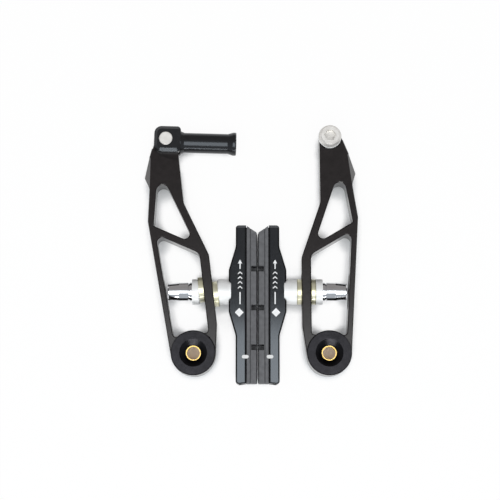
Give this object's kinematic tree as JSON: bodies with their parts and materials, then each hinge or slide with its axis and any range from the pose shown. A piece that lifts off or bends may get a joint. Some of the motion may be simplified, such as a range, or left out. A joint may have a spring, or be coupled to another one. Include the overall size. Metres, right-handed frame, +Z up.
{
  "type": "v brake",
  "caption": "Linear-pull rim brake set: mirrored windowed arms on pivot sleeves, cartridge pads on ball-washer studs, a forked cable link and a cable anchor bolt.",
  "frame": {"origin": "middle of the set's footprint, on the table it lies on", "axes": "+Y from the pivots towards the cable end of the arms, +X towards the arm with the anchor bolt, +Z up out of the pivots' front"},
  "size_m": [0.1048, 0.127, 0.02],
  "materials": {
    "anodised_black": "satin black anodised",
    "shoe_black": "satin black",
    "brake_rubber": "matte grey",
    "sleeve_brass": "turned",
    "carrier_plastic": "black",
    "spring_steel": "drawn wire",
    "plain_steel": "zinc plated",
    "white_zinc": "bright zinc",
    "yellow_zinc": "yellow passivated zinc",
    "chromed": "polished",
    "pale_plastic": "off-white"
  },
  "bodies": {
    "pivot_mounts": {"left_pivot_sleeve": "sleeve_brass", "left_pivot_cap": "anodised_black", "left_spring_carrier": "carrier_plastic", "right_pivot_sleeve": "sleeve_brass", "right_pivot_cap": "anodised_black", "right_spring_carrier": "carrier_plastic"},
    "left_arm": {"left_brake_arm": "anodised_black", "left_return_spring": "spring_steel", "link_pin": "plain_steel", "link_clip": "spring_steel"},
    "right_arm": {"right_brake_arm": "anodised_black", "right_return_spring": "spring_steel", "anchor_bolt": "chromed", "anchor_washer": "plain_steel"},
    "cable_link": {"cable_link": "anodised_black"},
    "left_pad_carriage": {"left_inner_cup_washer": "yellow_zinc", "left_outer_cup_washer": "yellow_zinc"},
    "left_pad": {"left_pad_holder": "shoe_black", "left_pad_insert": "brake_rubber", "left_pad_keeper": "pale_plastic", "left_pad_stud": "plain_steel", "left_thick_washer": "white_zinc", "left_thin_washer": "white_zinc", "left_pad_nut": "chromed"},
    "right_pad_carriage": {"right_inner_cup_washer": "yellow_zinc", "right_outer_cup_washer": "yellow_zinc"},
    "right_pad": {"right_pad_holder": "shoe_black", "right_pad_insert": "brake_rubber", "right_pad_keeper": "pale_plastic", "right_pad_stud": "plain_steel", "right_thick_washer": "white_zinc", "right_thin_washer": "white_zinc", "right_pad_nut": "chromed"}
  },
  "joints": [
    {"name": "left_arm_pivot", "type": "hinge", "parent": "pivot_mounts", "child": "left_arm", "pos_m": [-0.02772, -0.04852, 0.008], "axis": [0, 0, 1], "range_deg": [0, 1.5], "deforming": ["left_return_spring"]},
    {"name": "right_arm_pivot", "type": "hinge", "parent": "pivot_mounts", "child": "right_arm", "pos_m": [0.03782, -0.04852, 0.008], "axis": [0, 0, -1], "range_deg": [0, 1.5], "deforming": ["right_return_spring"]},
    {"name": "cable_link_pivot", "type": "hinge", "parent": "left_arm", "child": "cable_link", "pos_m": [-0.0418, 0.05694, 0.01], "axis": [0, 0, 1], "range_deg": [-4, 120]},
    {"name": "left_pad_height", "type": "slide", "parent": "left_arm", "child": "left_pad_carriage", "axis": [-0.1176, 0.9931, 0], "range_m": [-0.005, 0.005]},
    {"name": "left_pad_turn", "type": "hinge", "parent": "left_pad_carriage", "child": "left_pad", "pos_m": [0.00327, -0.01832, 0.01], "axis": [1, 0, 0], "continuous": true},
    {"name": "right_pad_height", "type": "slide", "parent": "right_arm", "child": "right_pad_carriage", "axis": [-0.0043, 1, 0], "range_m": [-0.005, 0.005]},
    {"name": "right_pad_turn", "type": "hinge", "parent": "right_pad_carriage", "child": "right_pad", "pos_m": [0.00327, -0.01832, 0.01], "axis": [1, 0, 0], "continuous": true}
  ]
}
